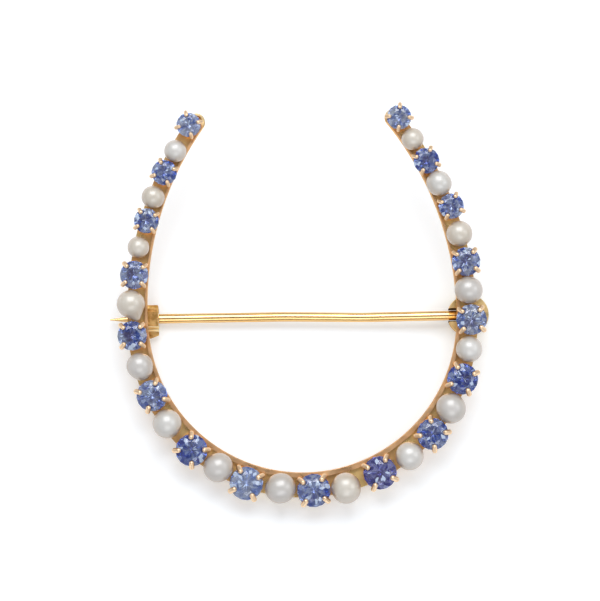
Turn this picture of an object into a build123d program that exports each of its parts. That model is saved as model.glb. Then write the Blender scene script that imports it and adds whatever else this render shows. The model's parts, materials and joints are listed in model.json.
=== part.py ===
from build123d import *

import os
from math import acos, asin, cos, degrees, pi, radians, sin, sqrt

# Horseshoe brooch: a row of round sapphires and seed pearls on a gold horseshoe, with a pin behind.
# Lengths are in mm and angles in degrees. The brooch is worked out flat first: x to the right and y
# from the bow to the tips as seen from the front, z = 0 at the back of the plate, stones towards +z.
# At the end it is laid on its back the way it rests by itself, on its bow, its hinge and its catch.

# Line of the stones, seen from the front: a round bow, then two arms that close in
BOW_R = 14.13
BOW_HALF_ANGLE = 89.0
ARM_R = 27.97
ROW_SHIFT = -0.13

# Plate, with its margins from the line of the stones, a round base under each stone that scallops
# its outer edge, and the rail along its inner edge
PLATE_T = 0.80
INNER_BOW = 1.60
INNER_ARM = 1.20
INNER_LEFT_TIP = 0.92
INNER_RIGHT_TIP = 0.86
OUTER_BOW = 0.50
OUTER_ARM = 0.52
OUTER_TIP = 0.50
PLATE_END_LEFT = 0.66
PLATE_END_RIGHT = 0.40
COLLET_BASE = 0.80
CUP_BASE = 0.74
RAIL_BOW_W = 0.44
RAIL_ARM_W = 0.24
RAIL_TIP_W = 0.20
RAIL_H = 1.35
TIP_RIM_H = 1.22
TIP_RIM_INSET = 0.03
TIP_RIM_OVERLAP = 0.06

# Stones
SAPPHIRE_D = 2.80
PEARL_D = 2.50
ROW_GAP = 0.10
ROW_PLAY = 0.15
STONE_GAP = 0.04
GIRDLE_LEVEL = 2.10

# Cut of a sapphire, as shares of its diameter
TABLE_SHARE = 0.56
STAR_SHARE = 0.50
CROWN_SHARE = 0.145
GIRDLE_SHARE = 0.03
PAVILION_SHARE = 0.43
LOWER_HALF_SHARE = 0.78
MAIN_FACETS = 8

# Collets with their claws, and pearl cups with their posts. A claw's thickness, its reach over the
# stone and how far it stands outside are shares of the stone's diameter.
CLAWS = 4
CLAW_D = 0.135
CLAW_TIP_D = 0.157
CLAW_OUT = 0.028
CLAW_REACH = 0.128
CLAW_RISE = 0.14
COLLET_FOOT = 0.66
COLLET_TOP = 0.97
COLLET_DROP = 0.10
COLLET_WALL = 0.20
OPEN_BACK = 0.36
CUP_FOOT = 0.56
CUP_TOP = 0.80
CUP_DEPTH = 0.58
CUP_FLOOR = 0.12
POST_D = 0.36
SOLDER = 0.05

# Pin stem, with three slight bends in the plane of its back, a slow taper inside the catch and a
# long point. Distances along the pin are from the rivet, or back from the catch's turning sleeve.
STEM_D = 0.80
STEM_KINK_AT = 9.10
STEM_KINK = 0.08
STEM_CREST_AT = 15.80
STEM_CREST = -0.055
STEM_BEND_LEAD = 1.10
STEM_BEND = -0.03
STEM_BEND_R = 40.0
STEM_OVERHANG = 2.10
TIP_DROP = 0.01
TAPER_LEAD = 0.15
POINT_ROOT_D = 0.70
POINT_L = 2.40
POINT_D = 0.10

# Catch: a fixed open housing with a turning sleeve inside, and the sleeve's thumb tab.
# Its angles are measured about the pin from straight back.
STEM_ROOM = 0.11
SLEEVE_WALL = 0.35
SLEEVE_GAP = 0.05
HOUSING_WALL = 0.28
HOUSING_L = 2.00
HOUSING_ROUND = 0.12
SLEEVE_L = 2.08
CATCH_INSET = 1.10
LIP_ANGLE = 38.0
TAB_ANGLE = 92.0
TAB_LIP_ROOM = 56.0
RIDGE_D = 0.42
RIDGE_AT = 0.88
TAB_T = 0.24
TAB_W = 0.95
TAB_SHOULDER_R = 1.38
TAB_END_R = 1.63
TAB_END_AT = 0.67

# Pin line across the back: the heights where it crosses the two arms, and its depth
HINGE_Y = 0.02
CATCH_Y = 1.03
CATCH_STANDOFF = 0.05

# Hinge drum, rivet and the pin's eye. The drum's slot is wider in front of the pin than behind it.
DRUM_R = 1.69
DRUM_INSET = 0.16
DRUM_LIP = 0.26
SLOT_ROOM = 0.07
SLOT_RELIEF = 0.11
RELIEF_BACK = 0.10
RIVET_INSET = 0.35
RIVET_D = 0.60
RIVET_FIT = 0.02
EYE_WALL = 0.44
EYE_FIT = 0.04
EYE_ROOM = 0.10
EYE_SIDE_ROOM = 0.06

# Each stone from the left tip round the bow to the right tip. Columns: kind, diameter as a share of
# the largest of its kind, gap to the next as a multiple of ROW_GAP, distance outside the line as a
# share of ROW_PLAY, stretch (length over width), taper of the smaller end, and turn of the claws or
# of the long axis. The eighth is a baroque pearl.
S = "sapphire"
P = "pearl"
STONES = [
    (S, 0.73, 4.8, 0.6, 1.00, 0.00, 2),
    (P, 0.75, 0.4, -0.5, 1.00, 0.00, 0),
    (S, 0.76, 2.5, -0.5, 1.00, 0.00, -3),
    (P, 0.75, 0.8, 0.1, 1.04, 0.00, 80),
    (S, 0.75, 3.3, -0.5, 1.00, 0.00, 3),
    (P, 0.73, 2.4, 0.5, 1.00, 0.00, 0),
    (S, 0.85, 2.2, 0.4, 1.00, 0.00, 2),
    (P, 0.94, 0.7, 0.8, 1.15, 0.75, 25),
    (S, 0.88, 3.1, 0.9, 1.00, 0.00, -2),
    (P, 0.88, 2.4, -0.4, 1.07, 0.12, 12),
    (S, 0.93, 1.5, -1.0, 1.00, 0.00, 4),
    (P, 0.97, 4.4, 0.0, 1.00, 0.00, 0),
    (S, 0.96, 1.1, 0.0, 1.00, 0.00, -3),
    (P, 0.97, 0.6, -0.8, 1.03, 0.00, 60),
    (S, 1.00, 2.1, 0.6, 1.00, 0.00, 0),
    (P, 1.00, 1.6, -1.1, 1.04, 0.00, 20),
    (S, 1.00, 0.4, -0.6, 1.00, 0.00, 5),
    (P, 0.99, 4.5, 1.0, 1.05, 0.00, 85),
    (S, 1.00, 2.2, -0.3, 1.00, 0.00, -4),
    (P, 0.95, 1.2, 0.8, 1.00, 0.00, 0),
    (S, 0.95, 0.4, 0.9, 1.00, 0.00, 3),
    (P, 0.99, 0.8, 0.9, 1.03, 0.00, 45),
    (S, 0.93, 1.6, -0.1, 1.00, 0.00, -2),
    (P, 0.88, 1.0, -0.6, 1.00, 0.00, 0),
    (S, 0.92, 0.7, -0.5, 1.00, 0.00, 4),
    (P, 0.91, 0.4, -1.0, 1.04, 0.00, 70),
    (S, 0.86, 1.1, 0.1, 1.00, 0.00, -3),
    (P, 0.87, 2.3, 0.3, 1.00, 0.00, 0),
    (S, 0.76, 0.7, 0.9, 1.00, 0.00, 2),
    (P, 0.83, 0.4, -0.2, 1.04, 0.00, 10),
    (S, 0.78, 1.3, -0.6, 1.00, 0.00, -4),
    (P, 0.75, 1.5, -0.5, 1.00, 0.00, 0),
    (S, 0.74, 0.0, 0.6, 1.00, 0.00, 3),
]

HALF_BOW = BOW_R * radians(BOW_HALF_ANGLE)
SLEEVE_BORE_R = STEM_D / 2 + STEM_ROOM
SLEEVE_R = SLEEVE_BORE_R + SLEEVE_WALL
HOUSING_BORE_R = SLEEVE_R + SLEEVE_GAP
HOUSING_R = HOUSING_BORE_R + HOUSING_WALL
PIN_DEPTH = HOUSING_R + CATCH_STANDOFF
EYE_R = RIVET_D / 2 + EYE_WALL
SLOT_W = STEM_D + 2 * SLOT_ROOM
EYE_W = SLOT_W - 2 * EYE_SIDE_ROOM
DRUM_H = PIN_DEPTH + EYE_R + DRUM_LIP
STANDING = (Align.CENTER, Align.CENTER, Align.MIN)
HANGING = (Align.CENTER, Align.CENTER, Align.MAX)
SETTLING_STEPS = 8


def row_angle(along):
    """Angle of the row's outward side at this distance along it from the bow's bottom."""
    if abs(along) <= HALF_BOW:
        return degrees(along / BOW_R)
    beyond = degrees((abs(along) - HALF_BOW) / ARM_R)
    return (BOW_HALF_ANGLE + beyond) * (1 if along > 0 else -1)


def row_point(along, out=0.0):
    """x and y of the row's line at this distance along it, moved outwards by out."""
    angle = radians(row_angle(along))
    if abs(along) <= HALF_BOW:
        centre = (0.0, 0.0)
        radius = BOW_R
    else:
        joint = radians(BOW_HALF_ANGLE) * (1 if along > 0 else -1)
        centre = ((BOW_R - ARM_R) * sin(joint), -(BOW_R - ARM_R) * cos(joint))
        radius = ARM_R
    return (centre[0] + (radius + out) * sin(angle), centre[1] - (radius + out) * cos(angle))


def row_place(along, out=0.0):
    """Location on the row with its local x along the row and its local -y outwards."""
    x, y = row_point(along, out)
    return Location((x, y, 0), (0, 0, row_angle(along)))


def row_at_height(y, side):
    """Distance along the row to where it crosses this height, on the side +1 or -1."""
    joint = radians(BOW_HALF_ANGLE)
    if y <= -BOW_R * cos(joint):
        return side * BOW_R * acos(-y / BOW_R)
    arm_y = -(BOW_R - ARM_R) * cos(joint)
    return side * (HALF_BOW + ARM_R * (acos((arm_y - y) / ARM_R) - joint))


def stone_row():
    """Diameter and distance along the row of each stone, with the whole row centred."""
    largest = {S: SAPPHIRE_D, P: PEARL_D}
    sizes = [share * largest[kind] for kind, share, *rest in STONES]
    places = [0.0]
    for index in range(len(STONES) - 1):
        gap = STONES[index][2] * ROW_GAP
        places.append(places[-1] + (sizes[index] + sizes[index + 1]) / 2 + gap)
    start = ROW_SHIFT - places[-1] / 2
    return [(size, place + start) for size, place in zip(sizes, places)]


ROW = stone_row()


def along_to_end(side):
    """Distance along the row to the round end of the plate, on the side +1 or -1."""
    (size, place), share = (ROW[-1], PLATE_END_RIGHT) if side > 0 else (ROW[0], PLATE_END_LEFT)
    return place + side * share * size / 2


def band_edge(at_bow, at_arms, at_left_tip, at_right_tip):
    """Three arcs from tip to tip along the row, with their distances outside it."""
    joint_left = Vector(*row_point(-HALF_BOW, at_arms))
    joint_right = Vector(*row_point(HALF_BOW, at_arms))
    bow = ThreePointArc(joint_left, Vector(*row_point(0, at_bow)), joint_right)
    tip_left = Vector(*row_point(along_to_end(-1), at_left_tip))
    tip_right = Vector(*row_point(along_to_end(1), at_right_tip))
    arm_left = TangentArc(joint_left, tip_left, tangent=bow.tangent_at(0) * -1)
    arm_right = TangentArc(joint_right, tip_right, tangent=bow.tangent_at(1))
    return [arm_left, bow, arm_right], tip_left, tip_right


def band(inner, outer, height, round_ends=True):
    """Flat horseshoe between two graduated edges, with round or square ends."""
    inner_arcs, inner_left, inner_right = inner
    outer_arcs, outer_left, outer_right = outer
    caps = []
    for side, low, high in ((-1, inner_left, outer_left), (1, inner_right, outer_right)):
        heading = radians(row_angle(along_to_end(side)))
        forward = Vector(cos(heading), sin(heading)) * side
        crown = (low + high) / 2 + forward * ((high - low).length / 2)
        caps.append(ThreePointArc(low, crown, high) if round_ends else Line(low, high))
    return extrude(make_face(Curve() + inner_arcs + outer_arcs + caps), amount=height)


INNER_EDGE = (-INNER_BOW, -INNER_ARM, -INNER_LEFT_TIP, -INNER_RIGHT_TIP)
OUTER_EDGE = (OUTER_BOW, OUTER_ARM, OUTER_TIP, OUTER_TIP)


def plate():
    """Plate that carries all the settings, wider at the bow and round at both tips."""
    return band(band_edge(*INNER_EDGE), band_edge(*OUTER_EDGE), PLATE_T)


def rail():
    """Low wall along the plate's inner edge, widest at the bow."""
    widths = (RAIL_BOW_W, RAIL_ARM_W, RAIL_TIP_W, RAIL_TIP_W)
    far_side = [margin + width for margin, width in zip(INNER_EDGE, widths)]
    return band(band_edge(*INNER_EDGE), band_edge(*far_side), RAIL_H, round_ends=False)


def tip_rim(side):
    """Low wall round the end of the plate, on the side +1 or -1."""
    inner = INNER_LEFT_TIP if side < 0 else INNER_RIGHT_TIP
    outer_r = (inner + OUTER_TIP) / 2 - TIP_RIM_INSET
    inner_r = outer_r - RAIL_TIP_W
    wall = Cylinder(outer_r, TIP_RIM_H, align=STANDING) - Cylinder(inner_r, TIP_RIM_H, align=STANDING)
    beyond = Box(2 * outer_r, 2 * outer_r, TIP_RIM_H, align=(Align.MIN, Align.CENTER, Align.MIN))
    beyond = beyond.moved(Location((-TIP_RIM_OVERLAP, 0, 0)))
    if side < 0:
        beyond = beyond.rotate(Axis.Z, 180)
    return (wall & beyond).moved(row_place(along_to_end(side), (OUTER_TIP - inner) / 2))


def brilliant_rings():
    """Radius and height of each ring of corners of a stone one unit across, girdle at zero."""
    half_step = cos(pi / MAIN_FACETS)
    girdle = GIRDLE_SHARE / 2
    crown = girdle + CROWN_SHARE
    table = TABLE_SHARE / 2
    star = table * half_step + STAR_SHARE * (0.5 - table * half_step)
    star_z = girdle + (0.5 - star * half_step) * CROWN_SHARE / (0.5 - table)
    low = 0.5 * (1 - LOWER_HALF_SHARE)
    low_z = -girdle - (0.5 - low * half_step) * PAVILION_SHARE / 0.5
    return {
        "table": (table, crown),
        "star": (star, star_z),
        "girdle": (0.5, girdle),
        "low": (low, low_z),
        "culet": (0.0, -girdle - PAVILION_SHARE),
    }


def brilliant():
    """Round brilliant one unit across: table, stars, kites, halves, girdle and pavilion."""
    rings = brilliant_rings()
    step = 2 * pi / MAIN_FACETS

    def corner(ring, turns, flip=1):
        radius, z = rings[ring]
        return Vector(radius * cos(turns * step), radius * sin(turns * step), flip * z)

    facets = [[corner("table", main) for main in range(MAIN_FACETS)]]
    culet = corner("culet", 0)
    for main in range(MAIN_FACETS):
        half = main + 0.5
        before = main - 0.5
        star = corner("star", half)
        facets.append([corner("table", main), star, corner("table", main + 1)])
        facets.append([corner("table", main), corner("star", before), corner("girdle", main), star])
        facets.append([culet, corner("low", half), corner("girdle", main, -1), corner("low", before)])
        for side in (main, main + 1):
            facets.append([star, corner("girdle", side), corner("girdle", half)])
            facets.append([corner("low", half), corner("girdle", half, -1), corner("girdle", side, -1)])
            facets.append([
                corner("girdle", side),
                corner("girdle", half),
                corner("girdle", half, -1),
                corner("girdle", side, -1),
            ])
    faces = [Face(Wire.make_polygon(points, close=True)) for points in facets]
    return Solid(Shell(faces))


def collet(size, turn):
    """Tapered open collet with claws bent over the stone's edge, its foot on the plate."""
    radius = size / 2
    rings = {name: (r * size, z * size + GIRDLE_LEVEL) for name, (r, z) in brilliant_rings().items()}
    foot_z = PLATE_T - SOLDER
    top_z = GIRDLE_LEVEL - COLLET_DROP
    cup = Cone(COLLET_FOOT * radius, COLLET_TOP * radius, top_z - foot_z, align=STANDING)
    cup = cup.moved(Location((0, 0, foot_z)))

    foot = Vector(COLLET_FOOT * radius - CLAW_D * size / 4, 0, foot_z)
    knee = Vector(radius + CLAW_OUT * size, 0, GIRDLE_LEVEL + CLAW_RISE)
    slope = (rings["star"][1] - rings["girdle"][1]) / (rings["girdle"][0] - rings["star"][0])
    tip = knee + Vector(-1, 0, slope) * (CLAW_REACH * size)
    leg = rod(foot, knee, CLAW_D * size / 2)
    nail = capsule(knee, tip, CLAW_TIP_D * size / 2)
    claws = []
    for claw in range(CLAWS):
        angle = 360 / CLAWS * (claw + 0.5) + turn
        claws += [leg.rotate(Axis.Z, angle), nail.rotate(Axis.Z, angle)]

    low_r, low_z = rings["low"]
    inside = COLLET_FOOT * radius - COLLET_WALL
    hole = OPEN_BACK * radius
    girdle_z = rings["girdle"][1]
    below_z = 2 * GIRDLE_LEVEL - girdle_z
    inside_z = below_z - (below_z - low_z) * (radius - inside) / (radius - low_r)
    over = GIRDLE_LEVEL + size
    well = Polyline(
        (0, 0, -1),
        (hole, 0, -1),
        (hole, 0, PLATE_T),
        (inside, 0, PLATE_T),
        (inside, 0, inside_z - STONE_GAP),
        (radius + STONE_GAP, 0, below_z - STONE_GAP),
        (radius + STONE_GAP, 0, girdle_z + STONE_GAP),
        (rings["star"][0] + STONE_GAP, 0, rings["star"][1] + STONE_GAP),
        (rings["table"][0] + STONE_GAP, 0, rings["table"][1] + STONE_GAP),
        (rings["table"][0] + STONE_GAP, 0, over),
        (0, 0, over),
        close=True,
    )
    well = revolve(make_face(well), Axis.Z)
    body = cup.fuse(*claws)
    return body - well, Cylinder(hole, 4 * PLATE_T)


def rod(start, end, radius):
    """Round bar with flat ends between two points."""
    along = end - start
    plane = Plane(origin=start, z_dir=along.normalized())
    bar = Cylinder(radius, along.length, align=STANDING)
    return bar.moved(plane.location)


def capsule(start, end, radius):
    """Round bar with domed ends centred on two points."""
    along = end - start
    length = along.length
    outline = [
        Line((0, 0, -radius), (0, 0, length + radius)),
        ThreePointArc((0, 0, -radius), (radius * sqrt(0.5), 0, -radius * sqrt(0.5)), (radius, 0, 0)),
        Line((radius, 0, 0), (radius, 0, length)),
        ThreePointArc(
            (radius, 0, length),
            (radius * sqrt(0.5), 0, length + radius * sqrt(0.5)),
            (0, 0, length + radius),
        ),
    ]
    bar = revolve(make_face(Curve() + outline), Axis.Z)
    plane = Plane(origin=start, z_dir=along.normalized())
    return bar.moved(plane.location)


def pearl_body(width, stretch, taper, turn, grow=0.0):
    """Pearl centred at the origin: round, or drawn out along one axis with a smaller end."""
    big = width / 2 + grow
    small = width / 2 * (1 - taper) + grow
    span = width * stretch - big - small + 2 * grow
    if stretch <= 1.0:
        return Sphere(big)
    lean = asin((big - small) / span)
    shift = (big - small - span) / 2
    outline = [
        Line((shift - big, 0), (shift + span + small, 0)),
        ThreePointArc(
            (shift - big, 0),
            (shift - big * cos(pi / 4 + lean / 2), big * sin(pi / 4 + lean / 2)),
            (shift + big * sin(lean), big * cos(lean)),
        ),
        Line(
            (shift + big * sin(lean), big * cos(lean)),
            (shift + span + small * sin(lean), small * cos(lean)),
        ),
        ThreePointArc(
            (shift + span + small * sin(lean), small * cos(lean)),
            (shift + span + small * cos(pi / 4 - lean / 2), small * sin(pi / 4 - lean / 2)),
            (shift + span + small, 0),
        ),
    ]
    return revolve(make_face(Curve() + outline), Axis.X).rotate(Axis.Z, turn)


def pearl_and_cup(size, stretch, taper, turn):
    """Drilled pearl, and the cup and post that hold it, with their foot on the plate."""
    radius = size / 2
    centre_z = PLATE_T + CUP_FLOOR + STONE_GAP + radius
    foot_z = PLATE_T - SOLDER
    top_z = centre_z - CUP_DEPTH * radius
    centre = Location((0, 0, centre_z))
    foot = Location((0, 0, foot_z))
    drill = Cylinder(POST_D / 2 + STONE_GAP, size, align=HANGING).moved(centre)
    pearl = pearl_body(size, stretch, taper, turn).moved(centre) - drill
    cup = Cone(CUP_FOOT * radius, CUP_TOP * radius, top_z - foot_z, align=STANDING).moved(foot)
    room = pearl_body(size, stretch, taper, turn, STONE_GAP).moved(centre)
    post = Cylinder(POST_D / 2, centre_z - STONE_GAP - foot_z, align=STANDING).moved(foot)
    return pearl, (cup - room).fuse(post)


def pin_plane():
    """Plane at the rivet's middle: x towards the catch, y towards the bow, z to the front."""
    hinge_along = row_at_height(HINGE_Y, 1)
    catch_along = row_at_height(CATCH_Y, -1)
    drum = Vector(*row_point(hinge_along, -DRUM_INSET), -PIN_DEPTH)
    catch = Vector(*row_point(catch_along, -CATCH_INSET), -PIN_DEPTH)
    along = (catch - drum).normalized()
    rivet = drum - along * RIVET_INSET
    tip = Vector(*row_point(catch_along, STEM_OVERHANG), -PIN_DEPTH)
    housing = (catch - rivet).length + CATCH_INSET - HOUSING_L
    reach = {
        "drum": RIVET_INSET,
        "sleeve": housing - (SLEEVE_L - HOUSING_L) / 2,
        "housing": housing,
        "catch": (catch - rivet).length,
        "tip": (tip - rivet).length,
    }
    return Plane(origin=rivet, x_dir=along, z_dir=(0, 0, 1)), reach


def across(radius, length, at_x=0.0):
    """Round bar across the pin, centred on the pin's line, in the pin's own frame."""
    return Cylinder(radius, length).rotate(Axis.X, 90).moved(Location((at_x, 0, 0)))


def hinge_drum(reach):
    """Drum behind the plate, in the pin's own frame, slotted right through, with the rivet's bore."""
    low = -DRUM_H + PIN_DEPTH
    high = PIN_DEPTH + SOLDER
    drum = Cylinder(DRUM_R, high - low, align=STANDING).moved(Location((reach["drum"], 0, low)))
    slot_end = -EYE_R - EYE_ROOM
    slot_l = DRUM_R * 2 + RIVET_INSET
    slot_h = DRUM_H * 2
    relief_w = SLOT_W + 2 * SLOT_RELIEF
    relief_h = high + RELIEF_BACK
    from_end = (Align.MIN, Align.CENTER, Align.MAX)
    slot = Box(slot_l, SLOT_W, slot_h, align=from_end) + Box(slot_l, relief_w, relief_h, align=from_end)
    slot = slot.moved(Location((slot_end, 0, high)))
    bore = across(RIVET_D / 2 + RIVET_FIT, DRUM_R * 3)
    return drum - slot - bore


def hinge_rivet():
    """Rivet through the drum's two ears, flush with its sides."""
    length = 2 * sqrt(DRUM_R**2 - (RIVET_INSET + RIVET_D / 2) ** 2)
    return across(RIVET_D / 2, length)


def pin_stem(reach):
    """Pin with its eye round the rivet, three slight bends, a slow taper and a long point."""
    kink = Vector(STEM_KINK_AT, STEM_KINK, 0)
    crest = Vector(STEM_CREST_AT, STEM_CREST, 0)
    bend = Vector(reach["sleeve"] - STEM_BEND_LEAD, STEM_BEND, 0)
    tip = Vector(reach["tip"], TIP_DROP, 0)
    taper_l = reach["tip"] - reach["sleeve"] + TAPER_LEAD - POINT_L
    shoulder = tip - (tip - bend).normalized() * (POINT_L + taper_l)
    path = FilletPolyline((EYE_R / 2, 0, 0), kink, crest, bend, shoulder, radius=STEM_BEND_R)
    section = Plane(origin=path @ 0, z_dir=path % 0) * Circle(STEM_D / 2)
    shank = sweep(section, path)
    taper = Cone(STEM_D / 2, POINT_ROOT_D / 2, taper_l, align=STANDING)
    point = Cone(POINT_ROOT_D / 2, POINT_D / 2, POINT_L, align=STANDING)
    point = point.moved(Location((0, 0, taper_l)))
    end = Plane(origin=path @ 1, z_dir=path % 1).location
    eye = across(EYE_R, EYE_W)
    hole = across(RIVET_D / 2 + EYE_FIT, EYE_W * 2)
    return eye.fuse(shank, taper.moved(end), point.moved(end)) - hole


def sector(start, end, radius, length):
    """Wedge about the pin's line: angles from straight back, growing towards the bow."""
    steps = 6
    points = [(0, 0)]
    for step in range(steps + 1):
        angle = radians(start + (end - start) * step / steps)
        points.append((radius * sin(angle), -radius * cos(angle)))
    wedge = make_face(Polyline(*points, close=True))
    return lengthwise(extrude(wedge, amount=length))


def lengthwise(shape):
    """Turn a shape drawn on x, y and raised along z to lie along the pin, with its y to the front."""
    return shape.rotate(Axis.X, 90).rotate(Axis.Z, 90)


def ring(outer, inner, length, rounding=0.0):
    """Straight sleeve along the pin from 0 to this length, its outer edges rounded where asked."""
    bar = Cylinder(outer, length, align=STANDING)
    if rounding:
        bar = fillet(bar.edges().filter_by(GeomType.CIRCLE), rounding)
    return lengthwise(bar - Cylinder(inner, length, align=STANDING))


def catch_housing(reach):
    """Fixed housing of the catch, open at the back and on the side of its tab."""
    opening = sector(-LIP_ANGLE, TAB_ANGLE + TAB_LIP_ROOM, HOUSING_R * 2, HOUSING_L)
    foot_h = PIN_DEPTH + SOLDER - HOUSING_BORE_R
    foot = Box(HOUSING_L, HOUSING_R, foot_h, align=(Align.MIN, Align.CENTER, Align.MIN))
    foot = foot.moved(Location((0, 0, HOUSING_BORE_R)))
    barrel = ring(HOUSING_R, HOUSING_BORE_R, HOUSING_L, HOUSING_ROUND)
    housing = (barrel - opening).fuse(foot)
    return housing.moved(Location((reach["housing"], 0, 0)))


def catch_rotor(reach):
    """Sleeve that turns about the pin inside the housing, with its slot to the back."""
    slot = Box(SLEEVE_L, 2 * SLEEVE_BORE_R, 2 * SLEEVE_R, align=(Align.MIN, Align.CENTER, Align.MAX))
    sleeve = ring(SLEEVE_R, SLEEVE_BORE_R, SLEEVE_L) - slot
    root = SLEEVE_R - SLEEVE_WALL / 2
    tab_outline = Polyline(
        (0, root),
        (TAB_W, root),
        (TAB_W, TAB_END_R),
        (TAB_END_AT, TAB_END_R),
        (0, TAB_SHOULDER_R),
        close=True,
    )
    tab = extrude(make_face(tab_outline), amount=TAB_T).moved(Location((0, 0, -TAB_T / 2)))
    ridge = lengthwise(Cylinder(RIDGE_D / 2, SLEEVE_L, align=STANDING)).moved(Location((0, RIDGE_AT, 0)))
    lever = tab.fuse(ridge).rotate(Axis.X, TAB_ANGLE - 90)
    return sleeve.fuse(lever).moved(Location((reach["sleeve"], 0, 0)))


def base_radius(kind, size):
    """Radius of the plate's round base under a stone."""
    return (COLLET_BASE if kind == S else CUP_BASE) * size / 2


def lowest_rim(lean):
    """Point on the back of the stones' bases that lies furthest down when the tips lean up this way."""
    rims = []
    for (kind, share, gap, out, *rest), (size, along) in zip(STONES, ROW):
        rims.append(Vector(*row_point(along, out * ROW_PLAY)) - lean * base_radius(kind, size))
    return min(rims, key=lean.dot)


def resting_place(plane, reach):
    """Location that lays the flat brooch down on its bow, its hinge drum and its catch."""
    drum = plane.from_local_coords(Vector(reach["drum"], 0, PIN_DEPTH - DRUM_H))
    lip = radians(LIP_ANGLE)
    catch_points = [
        plane.from_local_coords(Vector(x, -HOUSING_R * sin(lip), -HOUSING_R * cos(lip)))
        for x in (reach["housing"], reach["housing"] + HOUSING_L)
    ]
    up = Vector(0, DRUM_H, BOW_R).normalized()
    for _ in range(SETTLING_STEPS):
        lean = Vector(up.X, up.Y, 0).normalized()
        on_bow = lowest_rim(lean)
        on_drum = drum - lean * DRUM_R
        on_catch = min(catch_points, key=up.dot)
        up = (on_drum - on_bow).cross(on_catch - on_bow).normalized()
    ahead = (Vector(1, 0, 0) - up * up.X).normalized()
    return Plane(origin=on_bow, x_dir=ahead, z_dir=up).location.inverse()


def flat_brooch():
    """Every piece of the brooch by its name, before it is laid down."""
    plane, reach = pin_plane()
    pieces = {}
    gold = []
    holes = []
    bases = []
    cut_stone = brilliant()
    for index, (kind, share, gap, out, stretch, taper, turn) in enumerate(STONES):
        size, along = ROW[index]
        place = row_place(along, out * ROW_PLAY)
        number = index // 2 + 1
        if kind == S:
            setting, hole = collet(size, turn)
            holes.append(hole.moved(place))
            stone = cut_stone.scale(size).rotate(Axis.Z, turn).moved(Location((0, 0, GIRDLE_LEVEL)))
            pieces[f"sapphire_{number:02d}"] = stone.moved(place)
        else:
            pearl, setting = pearl_and_cup(size, stretch, taper, turn)
            pieces[f"pearl_{number:02d}"] = pearl.moved(place)
        gold.append(setting.moved(place))
        bases.append(Cylinder(base_radius(kind, size), PLATE_T, align=STANDING).moved(place))
    for fitting in (hinge_drum(reach), catch_housing(reach)):
        gold.append(fitting.moved(plane.location))
    rims = [tip_rim(side) for side in (-1, 1)]
    pieces["frame"] = plate().fuse(rail(), *rims, *bases).cut(*holes).fuse(*gold)
    pieces["pin_stem"] = pin_stem(reach).moved(plane.location)
    pieces["hinge_rivet"] = hinge_rivet().moved(plane.location)
    pieces["catch_rotor"] = catch_rotor(reach).moved(plane.location)
    return pieces, resting_place(plane, reach)


def resting_brooch():
    """Every piece as the brooch lies, with the middle of its box's underside at the origin."""
    pieces, place = flat_brooch()
    laid = {name: piece.moved(place) for name, piece in pieces.items()}
    boxes = [piece.bounding_box() for piece in laid.values()]
    middle_x = (min(box.min.X for box in boxes) + max(box.max.X for box in boxes)) / 2
    middle_y = (min(box.min.Y for box in boxes) + max(box.max.Y for box in boxes)) / 2
    middle = Location((-middle_x, -middle_y, 0))
    return {name: piece.moved(middle) for name, piece in laid.items()}, middle * place


if __name__ == "__main__":
    os.makedirs("parts", exist_ok=True)
    brooch, _ = resting_brooch()
    for name, piece in brooch.items():
        export_step(piece, f"parts/{name}.step")
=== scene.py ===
import json
import math

import bpy
from mathutils import Euler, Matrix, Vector


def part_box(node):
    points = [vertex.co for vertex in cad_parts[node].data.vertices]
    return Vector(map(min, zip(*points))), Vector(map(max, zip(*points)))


# The brooch lies face up on a pale floor. Lengths named here are in millimetres unless they say so.
MM = 0.001

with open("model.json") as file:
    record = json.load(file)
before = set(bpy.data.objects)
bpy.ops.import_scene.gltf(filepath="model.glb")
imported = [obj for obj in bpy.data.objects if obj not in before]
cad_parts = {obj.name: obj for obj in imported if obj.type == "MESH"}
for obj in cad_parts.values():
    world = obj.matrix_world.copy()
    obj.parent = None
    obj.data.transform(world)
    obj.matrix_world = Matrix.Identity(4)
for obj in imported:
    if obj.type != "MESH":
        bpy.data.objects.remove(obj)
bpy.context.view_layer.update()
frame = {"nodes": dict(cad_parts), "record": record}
nodes = frame["nodes"]

# Sockets of the mix node that hold colours, and the vector operations that give a number
MIX_FIRST = 6
MIX_SECOND = 7
MIX_RESULT = 2
GIVE_NUMBERS = ("DOT_PRODUCT", "LENGTH", "DISTANCE")


def new_material(name):
    """Node material, with its tree and its shader."""
    material = bpy.data.materials.new(name)
    material.use_nodes = True
    tree = material.node_tree
    return material, tree, tree.nodes["Principled BSDF"]


def feed(tree, node, inputs):
    """Link or set a node's inputs, each by its name or number."""
    for key, value in inputs.items():
        if isinstance(value, bpy.types.NodeSocket):
            tree.links.new(value, node.inputs[key])
        else:
            node.inputs[key].default_value = value


def add(tree, kind, inputs=None, **values):
    """Node of this kind, with its attributes and its inputs."""
    node = tree.nodes.new(kind)
    for key, value in values.items():
        setattr(node, key, value)
    feed(tree, node, inputs or {})
    return node


def maths(tree, operation, first, second=0.0):
    """Outcome of an operation on one or two numbers."""
    return add(tree, "ShaderNodeMath", {0: first, 1: second}, operation=operation).outputs[0]


def times(tree, first, second):
    """Product of two numbers."""
    return maths(tree, "MULTIPLY", first, second)


def vectors(tree, operation, first, second=(0.0, 0.0, 0.0)):
    """Outcome of an operation on one or two vectors: a vector, or a number such as a length."""
    node = add(tree, "ShaderNodeVectorMath", {0: first, 1: second}, operation=operation)
    return node.outputs["Value" if operation in GIVE_NUMBERS else "Vector"]


def scaled(tree, vector, factor):
    """Vector made this many times as long."""
    node = add(tree, "ShaderNodeVectorMath", {0: vector, "Scale": factor}, operation="SCALE")
    return node.outputs["Vector"]


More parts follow.
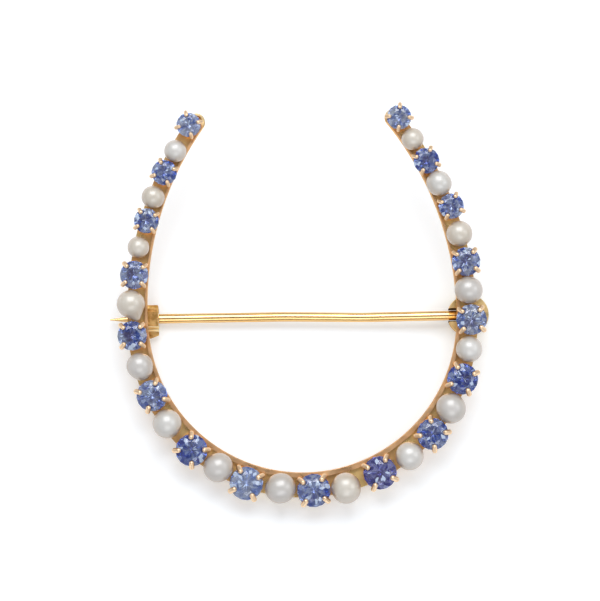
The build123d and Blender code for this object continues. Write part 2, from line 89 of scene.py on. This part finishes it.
def coordinates(tree, kind):
    """Coordinates on the piece: Object in metres, Generated as shares of its box, or its Normal."""
    return add(tree, "ShaderNodeTexCoord").outputs[kind]


def place_mm(tree):
    """Position on the piece in millimetres."""
    return scaled(tree, coordinates(tree, "Object"), 1 / MM)


def part_of(tree, vector, axis):
    """One of the three numbers of a vector."""
    return add(tree, "ShaderNodeSeparateXYZ", {0: vector}).outputs[axis]


def distance_mm(tree, way, start):
    """Distance in millimetres along a direction, from a point."""
    along = vectors(tree, "DOT_PRODUCT", coordinates(tree, "Object"), way / MM)
    return maths(tree, "SUBTRACT", along, start.dot(way) / MM)


def noise(tree, place, per_mm, detail=3.0, roughness=0.5, distortion=0.0):
    """Noise from 0 to 1 with this many features a millimetre."""
    inputs = {"Vector": place, "Scale": per_mm, "Detail": detail}
    inputs |= {"Roughness": roughness, "Distortion": distortion}
    return add(tree, "ShaderNodeTexNoise", inputs).outputs["Fac"]


def span(tree, value, low, high, to_low=0.0, to_high=1.0):
    """Value between low and high, mapped to another span and held inside it."""
    inputs = {"Value": value, "From Min": low, "From Max": high, "To Min": to_low, "To Max": to_high}
    return add(tree, "ShaderNodeMapRange", inputs).outputs["Result"]


def mix(tree, share, first, second, blend="MIX"):
    """Mix of two colours by the share of the second."""
    inputs = {"Factor": share, MIX_FIRST: first, MIX_SECOND: second}
    return add(tree, "ShaderNodeMix", inputs, data_type="RGBA", blend_type=blend).outputs[MIX_RESULT]


def bump(tree, height, strength, distance, normal=None):
    """Bumped normal from a height of 0 to 1."""
    inputs = {"Height": height, "Strength": strength, "Distance": distance * MM}
    if normal is not None:
        inputs["Normal"] = normal
    return add(tree, "ShaderNodeBump", inputs).outputs["Normal"]


# Directions of the rivet and of the brooch's front, from the axes of the two joints
JOINTS = {joint["name"]: joint for joint in frame["record"]["behaviour"]["joints"]}
SLEEVE_WAY = Vector(JOINTS["catch_turn"]["axis"])
SLEEVE_POINT = Vector(JOINTS["catch_turn"]["pos_m"])
RIVET_WAY = Vector(JOINTS["pin_swing"]["axis"]).normalized()
FRONT = (-SLEEVE_WAY).cross(RIVET_WAY).normalized()
RIVET_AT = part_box("hinge_rivet")
RIVET_MIDDLE = (Vector(RIVET_AT[0]) + Vector(RIVET_AT[1])) / 2
RIVET_DEPTH = 1.24
PLATE_BACK = RIVET_MIDDLE + FRONT * RIVET_DEPTH * MM

# Borders between the tones of the frame, some of them painted highlights and painted shade, each from where
# a tone starts to where it is complete.
# Levels are heights over the back of the plate, and the rims lie this far up towards the tips.
BEHIND_LEVELS = (0.15, 0.05)
RAIL_LEVELS = (0.82, 0.92)
CLAW_LEVELS = (1.80, 2.15)
LEDGE_LEVELS = (-1.18, -1.22)
RIM_LEVELS = (1.35, 1.25)
RIM_UP = (14.3, 15.3)
HINGE_FROM_RIVET = (3.6, 3.0)
SLOT_FROM_RIVET = (0.62, 0.58)
# Distance of the catch's ridge from the axis of the sleeve, and the same kind of border round it
RIDGE_FROM_AXIS = 0.88
RIDGE_BORDER = (0.23, 0.20)

# Ranges of noise: nearly all of it for even changes, and narrower ones for patches
WHOLE_NOISE = (0.3, 0.7)
SOFT_PATCHES = (0.35, 0.65)
CLEAR_PATCHES = (0.38, 0.62)
SHARP_PATCHES = (0.40, 0.60)
# Shares of open room round a point, from a deep recess to a free surface
RECESS_RANGE = (0.20, 0.90)
# Stretch of the fine lines along the wire
ALONG_WIRE = (0.10, 6.0, 6.0)

YELLOW_GOLD = (0.98, 0.71, 0.31, 1)
DULL_YELLOW_GOLD = (0.86, 0.54, 0.24, 1)
ROSE_GOLD = (0.86, 0.50, 0.25, 1)
LIGHT_ROSE_GOLD = (0.90, 0.56, 0.30, 1)
PALE_GOLD = (0.97, 0.72, 0.48, 1)
# Painted highlight: pale gold for the hinge drum, where it catches bright light
HINGE_HIGHLIGHT_GOLD = (0.98, 0.74, 0.36, 1)
CAST_GOLD = (0.98, 0.62, 0.24, 1)
CAST_BROWN = (0.56, 0.30, 0.09, 1)
SLEEVE_GOLD = (0.90, 0.58, 0.22, 1)
SLEEVE_BROWN = (0.62, 0.34, 0.11, 1)
# Painted highlight on the ridge of the catch
RIDGE_HIGHLIGHT_GOLD = (1.0, 0.86, 0.52, 1)
# Painted highlight on the rims at the tips
RIM_HIGHLIGHT_GOLD = (1.0, 0.78, 0.42, 1)
WIRE_GOLD = (0.84, 0.53, 0.22, 1)
LIGHT_WIRE_GOLD = (0.90, 0.62, 0.29, 1)
# Painted shade: dark gold that the recesses of the frame and the catch are darkened towards
RECESS_SHADE_GOLD = (0.17, 0.075, 0.02, 1)
# Painted shade in the slot of the hinge drum
SLOT_SHADE = (0.06, 0.03, 0.01, 1)
EDGE_TINT = (0.72, 0.52, 0.30, 1)


def worn_finish(tree, shader, roughness, dents, grain, edge):
    """Metal with rubbed patches, dents and grain this deep, and edges softened by this radius."""
    place = place_mm(tree)
    rubbed = span(tree, noise(tree, place, per_mm=1.4), *WHOLE_NOISE, *roughness)
    soft_edge = add(tree, "ShaderNodeBevel", {"Radius": edge * MM}, samples=4).outputs["Normal"]
    broad = noise(tree, place, per_mm=1.1, detail=1.0)
    fine = noise(tree, place, per_mm=11.0, detail=2.0)
    dented = bump(tree, broad, strength=0.3, distance=dents, normal=soft_edge)
    grained = bump(tree, fine, strength=0.2, distance=grain, normal=dented)
    feed(tree, shader, {"Roughness": rubbed, "Normal": grained, "Metallic": 1.0, "Specular Tint": EDGE_TINT})


def recess_shade(tree, colour, shade_colour, reach, strength):
    """Colour darkened towards a shade colour by this share where the surface lies in a recess: painted
    shade.
    """
    recess = add(tree, "ShaderNodeAmbientOcclusion", {"Distance": reach * MM}, samples=8)
    depth = span(tree, recess.outputs["AO"], *RECESS_RANGE, strength, 0.0)
    return mix(tree, depth, colour, shade_colour)


def hinge_share(tree):
    """Share from 0 to 1 that covers the surroundings of the hinge."""
    away = vectors(tree, "DISTANCE", coordinates(tree, "Object"), RIVET_MIDDLE)
    return span(tree, away, *(reach * MM for reach in HINGE_FROM_RIVET))


def slot_share(tree):
    """Share from 0 to 1 that covers the slot of the hinge drum, by the distance along the rivet, for the
    painted shade in it.
    """
    aside = maths(tree, "ABSOLUTE", distance_mm(tree, RIVET_WAY, RIVET_MIDDLE))
    return span(tree, aside, *SLOT_FROM_RIVET)


def ridge_share(tree):
    """Share from 0 to 1 that covers the ridge of the catch, by its distance from the sleeve's axis, for its
    painted highlight.
    """
    from_point = vectors(tree, "SUBTRACT", coordinates(tree, "Object"), SLEEVE_POINT)
    from_axis = vectors(tree, "LENGTH", vectors(tree, "CROSS_PRODUCT", from_point, SLEEVE_WAY))
    aside = maths(tree, "ABSOLUTE", maths(tree, "SUBTRACT", from_axis, RIDGE_FROM_AXIS * MM))
    return span(tree, aside, *(border * MM for border in RIDGE_BORDER))


def setting_gold():
    """Old gold of the frame: yellow plate, rose rail, pale claws, cast hinge and catch behind, with painted
    highlights on the hinge and the tip rims and painted shade in the slot and the recesses.
    """
    material, tree, shader = new_material("setting_gold")
    place = place_mm(tree)
    level = distance_mm(tree, FRONT, PLATE_BACK)
    patches = span(tree, noise(tree, place, per_mm=0.5, detail=2.0), *SHARP_PATCHES)
    cast_patches = span(tree, noise(tree, place, per_mm=1.7, roughness=0.6), *CLEAR_PATCHES)
    plate = mix(tree, patches, YELLOW_GOLD, DULL_YELLOW_GOLD)
    castings = mix(tree, cast_patches, CAST_GOLD, CAST_BROWN)
    rail = mix(tree, patches, ROSE_GOLD, LIGHT_ROSE_GOLD)

    hinge = hinge_share(tree)
    behind = span(tree, level, *BEHIND_LEVELS)
    low = mix(tree, behind, plate, castings)
    # Painted highlight on the back parts round the hinge
    low = mix(tree, times(tree, hinge, behind), low, HINGE_HIGHLIGHT_GOLD)
    # Painted shade on the ledges inside the slot of the hinge
    ledges = times(tree, slot_share(tree), span(tree, level, *LEDGE_LEVELS))
    low = mix(tree, times(tree, hinge, ledges), low, SLOT_SHADE)

    # Painted highlight on the rims at the tips of the rail
    rim_highlight = times(tree, span(tree, part_of(tree, place, "Y"), *RIM_UP), span(tree, level, *RIM_LEVELS))
    rail = mix(tree, rim_highlight, rail, RIM_HIGHLIGHT_GOLD)
    colour = mix(tree, span(tree, level, *RAIL_LEVELS), low, rail)
    colour = mix(tree, span(tree, level, *CLAW_LEVELS), colour, PALE_GOLD)
    # Painted shade in the recesses of the frame
    colour = recess_shade(tree, colour, RECESS_SHADE_GOLD, reach=0.5, strength=0.48)
    feed(tree, shader, {"Base Color": colour})
    worn_finish(tree, shader, roughness=(0.25, 0.42), dents=0.060, grain=0.005, edge=0.07)
    return material


def catch_gold():
    """Darker, rougher cast gold of the catch's sleeve and of the rivet, with a painted highlight on the
    catch's ridge and painted shade in recesses.
    """
    material, tree, shader = new_material("catch_gold")
    patches = noise(tree, place_mm(tree), per_mm=1.2, detail=4.0, roughness=0.6)
    colour = mix(tree, span(tree, patches, *CLEAR_PATCHES), SLEEVE_GOLD, SLEEVE_BROWN)
    # Painted highlight along the ridge of the catch
    colour = mix(tree, ridge_share(tree), colour, RIDGE_HIGHLIGHT_GOLD)
    # Painted shade in the recesses of the catch
    colour = recess_shade(tree, colour, RECESS_SHADE_GOLD, reach=0.30, strength=0.45)
    feed(tree, shader, {"Base Color": colour})
    worn_finish(tree, shader, roughness=(0.26, 0.40), dents=0.060, grain=0.010, edge=0.05)
    return material


def pin_gold():
    """Drawn gold wire: bright, with fine lines along its length."""
    material, tree, shader = new_material("drawn_gold")
    place = place_mm(tree)
    stretched = add(tree, "ShaderNodeMapping", {"Vector": place, "Scale": ALONG_WIRE})
    lines = noise(tree, stretched.outputs["Vector"], per_mm=1.6, detail=4.0, roughness=0.6)
    tone = span(tree, noise(tree, place, per_mm=0.30), *SOFT_PATCHES)
    feed(tree, shader, {
        "Base Color": mix(tree, tone, WIRE_GOLD, LIGHT_WIRE_GOLD),
        "Roughness": span(tree, lines, *WHOLE_NOISE, 0.14, 0.24),
        "Normal": bump(tree, lines, strength=0.25, distance=0.010),
        "Metallic": 1.0,
        "Specular Tint": EDGE_TINT,
    })
    return material


# Blues of the sapphires: their own blue, painted lighter or deeper facet by facet as painted light and
# shade. Columns: name, light facets, deep facets, depth colour, density per metre
BLUES = {
    "milky": ((0.80, 0.88, 1.0, 1), (0.18, 0.29, 0.68, 1), (0.44, 0.60, 0.95, 1), 210.0),
    "pale": ((0.84, 0.91, 1.0, 1), (0.11, 0.19, 0.56, 1), (0.42, 0.58, 0.95, 1), 210.0),
    "cornflower": ((0.74, 0.84, 1.0, 1), (0.06, 0.12, 0.50, 1), (0.30, 0.48, 0.95, 1), 290.0),
    "royal": ((0.56, 0.70, 1.0, 1), (0.04, 0.08, 0.42, 1), (0.16, 0.34, 0.92, 1), 400.0),
    "violet": ((0.58, 0.62, 1.0, 1), (0.06, 0.06, 0.36, 1), (0.32, 0.33, 0.84, 1), 400.0),
}
# Each sapphire from the left tip round the bow to the right tip. Columns: blue, strength of the painted dark
# reflection inside it, and its place across the stone and up it, as shares of the stone's size
SAPPHIRES = (
    ("pale", 0.30, 0.40, 0.35),
    ("cornflower", 0.40, 0.42, 0.55),
    ("cornflower", 0.60, 0.45, 0.50),
    ("cornflower", 0.85, 0.40, 0.54),
    ("cornflower", 0.90, 0.38, 0.48),
    ("cornflower", 0.55, 0.60, 0.42),
    ("royal", 0.60, 0.52, 0.52),
    ("milky", 0.20, 0.50, 0.40),
    ("cornflower", 0.45, 0.50, 0.36),
    ("violet", 0.75, 0.50, 0.44),
    ("cornflower", 0.50, 0.44, 0.58),
    ("royal", 0.60, 0.56, 0.50),
    ("pale", 0.70, 0.44, 0.44),
    ("cornflower", 0.80, 0.50, 0.48),
    ("cornflower", 0.55, 0.46, 0.40),
    ("royal", 0.75, 0.52, 0.50),
    ("pale", 0.35, 0.60, 0.44),
)
SAPPHIRE_IOR = 1.77
SILK_RANGE = (0.35, 0.70)
CLEARNESS = 0.76
INNER_TILT = 0.34
# Painted dark reflection inside a stone, its size and the waves of its edge as shares of the stone's size
DARK_REFLECTION_COLOUR = (0.16, 0.13, 0.24, 1)
PATCH_SIZE = 0.24
PATCH_WAVES = (-0.10, 0.10)
# Fan of facets: how many round the stone and how many across it, and its step from stone to stone
FACETS_ROUND = 21.0
FACETS_ACROSS = 8.5
PATTERN_STEP = 7.3
FAN_SHARE = 0.65
# How fast the painted light and shade of the cut facets changes with their facing and with their place
FACING_RATE = 2.6
DRIFT_RATE = 0.22
CUT_RANGE = (0.36, 0.64)
TONE_RANGE = (0.25, 0.75)
# Facing of a surface to the brooch's front: from its side to well behind, and from its front to its side
BACK_FACING = (0.0, -0.2)
SIDE_FACING = (0.88, 0.25)
# Sparks are painted glints: the few facets of the fan painted pale and less clear, as if they threw the
# light straight back
SPARK_LIMITS = (0.90, 0.92)
SPARK_COLOUR = (0.66, 0.79, 1.0, 1)
SPARK_CLEARNESS = 0.30
MIDDLE = (0.5, 0.5, 0.5)
FLAT = (1.0, 1.0, 0.0)


def dark_reflection_patch(tree, across, up):
    """Share from 0 to 1 of a soft painted dark reflection inside a stone, at this place in the stone's box.
    """
    flat = vectors(tree, "MULTIPLY", coordinates(tree, "Generated"), FLAT)
    away = vectors(tree, "DISTANCE", flat, (across, up, 0.0))
    waves = span(tree, noise(tree, place_mm(tree), per_mm=1.8, detail=2.0), *WHOLE_NOISE, *PATCH_WAVES)
    return span(tree, maths(tree, "ADD", away, waves), PATCH_SIZE, PATCH_SIZE / 2)


def fan_of_facets(tree, number):
    """Random colour, even on each narrow facet of a fan round the stone's middle, new for each stone."""
    from_middle = vectors(tree, "SUBTRACT", coordinates(tree, "Generated"), MIDDLE)
    flat = vectors(tree, "MULTIPLY", from_middle, FLAT)
    turn = maths(tree, "ARCTAN2", part_of(tree, flat, "Y"), part_of(tree, flat, "X"))
    round_stone = maths(tree, "ADD", times(tree, turn, FACETS_ROUND / math.tau), PATTERN_STEP * number)
    outwards = times(tree, vectors(tree, "LENGTH", flat), FACETS_ACROSS)
    fan = add(tree, "ShaderNodeCombineXYZ", {"X": round_stone, "Y": outwards}).outputs["Vector"]
    cells = add(tree, "ShaderNodeTexVoronoi", {"Vector": fan, "Scale": 1.0}, voronoi_dimensions="2D")
    return cells.outputs["Color"]


def facet_tone(tree, fan):
    """Tone from 0 to 1 of the painted light and shade on the facets, from the way a facet faces and from the
    fan of narrow facets over it.
    """
    facing = scaled(tree, coordinates(tree, "Normal"), FACING_RATE)
    drift = scaled(tree, place_mm(tree), DRIFT_RATE)
    cut = noise(tree, vectors(tree, "ADD", facing, drift), per_mm=1.0, detail=1.0)
    broad = times(tree, span(tree, cut, *CUT_RANGE), 1 - FAN_SHARE)
    narrow = times(tree, part_of(tree, fan, "X"), FAN_SHARE)
    return span(tree, maths(tree, "ADD", broad, narrow), *TONE_RANGE)


def inner_facets(tree, fan):
    """Normal that breaks the back of a stone into small flat facets, and leaves its front as cut."""
    facing = vectors(tree, "DOT_PRODUCT", coordinates(tree, "Normal"), FRONT)
    tilt = span(tree, facing, *BACK_FACING, 0.0, INNER_TILT)
    lean = scaled(tree, vectors(tree, "SUBTRACT", fan, MIDDLE), tilt)
    normal = add(tree, "ShaderNodeNewGeometry").outputs["Normal"]
    return vectors(tree, "NORMALIZE", vectors(tree, "ADD", normal, lean))


def sapphire_material(number, blue, patch, across, up):
    """Clear blue stone: painted light and shade on its facets, painted glints, blue by its depth, and a
    painted dark reflection inside.
    """
    light, deep, depth, density = BLUES[blue]
    material, tree, shader = new_material(f"sapphire_{number:02d}")
    fan = fan_of_facets(tree, number)
    spark = span(tree, part_of(tree, fan, "Y"), *SPARK_LIMITS)
    # Painted light and shade: the stone's blue made lighter or deeper facet by facet
    colour = mix(tree, facet_tone(tree, fan), deep, light)
    # Painted dark reflection inside the stone
    colour = mix(tree, times(tree, dark_reflection_patch(tree, across, up), patch), colour, DARK_REFLECTION_COLOUR)
    # Painted glints on a few facets
    colour = mix(tree, spark, colour, SPARK_COLOUR)
    silk = noise(tree, place_mm(tree), per_mm=2.0, detail=2.0)
    feed(tree, shader, {
        "Base Color": colour,
        "Transmission Weight": span(tree, spark, 0.0, 1.0, CLEARNESS, SPARK_CLEARNESS),
        "Roughness": span(tree, silk, *SILK_RANGE, 0.0, 0.02),
        "Normal": inner_facets(tree, fan),
        "IOR": SAPPHIRE_IOR,
    })
    inside = add(tree, "ShaderNodeVolumeAbsorption", {"Color": depth, "Density": density})
    feed(tree, tree.nodes["Material Output"], {"Volume": inside.outputs["Volume"]})
    return material


# Nacre of the pearls. Columns: name, body, cloud
NACRES = {
    "grey": ((0.58, 0.56, 0.54, 1), (0.52, 0.50, 0.47, 1)),
    "cream": ((0.65, 0.61, 0.54, 1), (0.59, 0.54, 0.46, 1)),
    "white": ((0.65, 0.64, 0.62, 1), (0.59, 0.58, 0.55, 1)),
}
# Nacre of each pearl from the left tip round the bow to the right tip
PEARLS = (
    "white", "cream", "cream", "cream", "grey", "white", "grey", "grey",
    "cream", "white", "grey", "white", "grey", "cream", "white", "cream",
)
# Painted shade with a painted warm reflection of the cup's gold on a pearl's sides, and painted shade for
# its seat in the cup
WARM_REFLECTED_SIDE_SHADE = (0.64, 0.48, 0.33, 1)
CUP_SHADE = (0.42, 0.26, 0.12, 1)
SCATTER = (1.0, 0.85, 0.7)
SCATTER_REACH = 0.3


def side_share(tree):
    """Share from 0 to 1 that grows from a piece's front to its sides."""
    facing = vectors(tree, "DOT_PRODUCT", coordinates(tree, "Normal"), FRONT)
    return span(tree, facing, *SIDE_FACING)


def pearl_material(name, body, cloud):
    """Nacre: soft body and a clear gloss over it, with painted shade and a painted warm reflection of the
    cup on its sides, and painted shade in its cup.
    """
    material, tree, shader = new_material(f"pearl_{name}")
    place = place_mm(tree)
    clouds = span(tree, noise(tree, place, per_mm=0.6, detail=2.0), *SOFT_PATCHES)
    colour = mix(tree, clouds, body, cloud)
    # Painted shade and a painted warm reflection of the cup on the pearl's sides
    colour = mix(tree, side_share(tree), colour, WARM_REFLECTED_SIDE_SHADE, "MULTIPLY")
    waves = noise(tree, place, per_mm=1.0, detail=1.0, distortion=0.4)
    feed(tree, shader, {
        # Painted shade where the pearl sits in its cup
        "Base Color": recess_shade(tree, colour, CUP_SHADE, reach=0.7, strength=0.5),
        "Roughness": span(tree, noise(tree, place, per_mm=3.0, detail=2.0), *WHOLE_NOISE, 0.30, 0.40),
        "Normal": bump(tree, waves, strength=0.2, distance=0.04),
        "IOR": 1.6,
        "Subsurface Weight": 0.10,
        "Subsurface Radius": SCATTER,
        "Subsurface Scale": SCATTER_REACH * MM,
        "Coat Weight": 1.0,
        "Coat Roughness": 0.30,
        "Coat IOR": 1.8,
    })
    return material


def dress(name, material, smooth=None):
    """Give a CAD node its material, and where asked flat or smooth faces."""
    piece = nodes[name]
    piece.data.materials.clear()
    piece.data.materials.append(material)
    if smooth is not None:
        for polygon in piece.data.polygons:
            polygon.use_smooth = smooth


dress("frame", setting_gold())
dress("pin_stem", pin_gold())
catch_metal = catch_gold()
dress("catch_rotor", catch_metal)
dress("hinge_rivet", catch_metal)

for number, look in enumerate(SAPPHIRES, start=1):
    dress(f"sapphire_{number:02d}", sapphire_material(number, *look), smooth=False)
nacres = {name: pearl_material(name, *look) for name, look in NACRES.items()}
for number, name in enumerate(PEARLS, start=1):
    dress(f"pearl_{number:02d}", nacres[name], smooth=True)

# Floor: white paper that glows a little, so that the shadows on it stay faint
FLOOR_SIZE = 1600.0
bpy.ops.mesh.primitive_plane_add(size=FLOOR_SIZE * MM, location=(0, 0, 0))
floor = bpy.context.object
floor.name = "floor"
paper, paper_tree, paper_shader = new_material("paper")
feed(paper_tree, paper_shader, {
    "Base Color": (0.79, 0.83, 0.87, 1),
    "Roughness": 0.9,
    "Specular IOR Level": 0.2,
    "Emission Color": (1.0, 1.0, 1.0, 1),
    "Emission Strength": 0.28,
})
floor.data.materials.append(paper)

# Camera, at the photo's angle, with its turns in degrees
CAMERA_AT = (-8.017, -47.008, 249.843)
CAMERA_TURN = (11.005, -1.321, -2.893)
CAMERA_LENS = 179.7
SENSOR_WIDTH = 36.0
CLIP_START = 10.0
# Even light of the room, darker round the camera, within these angles from it in degrees
AMBIENT = 0.46
CAMERA_SHADE = 0.16
SHADE_EDGE = 11.0
SHADE_CORE = 5.0
ROOM_COLOUR = (0.98, 0.98, 1.0, 1)
# Soft lights. Columns: name, place, width, height, radiance, colour
LIGHTS = (
    ("window", (-10, 210, 345), 340, 260, 4.0, (0.98, 0.99, 1.0)),
    ("reflector", (10, -275, 290), 300, 200, 1.7, (0.99, 0.99, 1.0)),
    ("side", (300, 20, 250), 200, 200, 1.5, (1.0, 1.0, 1.0)),
)


def light_room():
    """Even light from all round, with a dark patch where the camera hangs over the brooch."""
    world = bpy.data.worlds.new("studio")
    bpy.context.scene.world = world
    world.use_nodes = True
    sky = world.node_tree
    towards = Vector(CAMERA_AT).normalized()
    nearness = vectors(sky, "DOT_PRODUCT", coordinates(sky, "Generated"), towards)
    edge, core = (math.cos(math.radians(angle)) for angle in (SHADE_EDGE, SHADE_CORE))
    strength = span(sky, nearness, edge, core, AMBIENT, CAMERA_SHADE)
    feed(sky, sky.nodes["Background"], {"Color": ROOM_COLOUR, "Strength": strength})


def hang_lamp(name, place, width, height, radiance, colour):
    """Rectangular lamp that faces the brooch."""
    lamp = bpy.data.lights.new(name, "AREA")
    lamp.shape = "RECTANGLE"
    lamp.size = width * MM
    lamp.size_y = height * MM
    lamp.energy = radiance * math.pi * lamp.size * lamp.size_y
    lamp.color = colour
    holder = bpy.data.objects.new(name, lamp)
    holder.location = Vector(place) * MM
    holder.rotation_euler = (-Vector(place)).to_track_quat("-Z", "Y").to_euler()
    bpy.context.scene.collection.objects.link(holder)


def set_camera():
    """Camera over the brooch, as far away as its lens needs for the photo's framing."""
    lens = bpy.data.cameras.new("camera")
    lens.lens = CAMERA_LENS
    lens.sensor_width = SENSOR_WIDTH
    lens.clip_start = CLIP_START * MM
    camera = bpy.data.objects.new("camera", lens)
    camera.location = Vector(CAMERA_AT) * MM
    camera.rotation_euler = Euler([math.radians(turn) for turn in CAMERA_TURN])
    bpy.context.scene.collection.objects.link(camera)
    bpy.context.scene.camera = camera
    bpy.context.scene.view_settings.view_transform = "Standard"


light_room()
for light in LIGHTS:
    hang_lamp(*light)
set_camera()
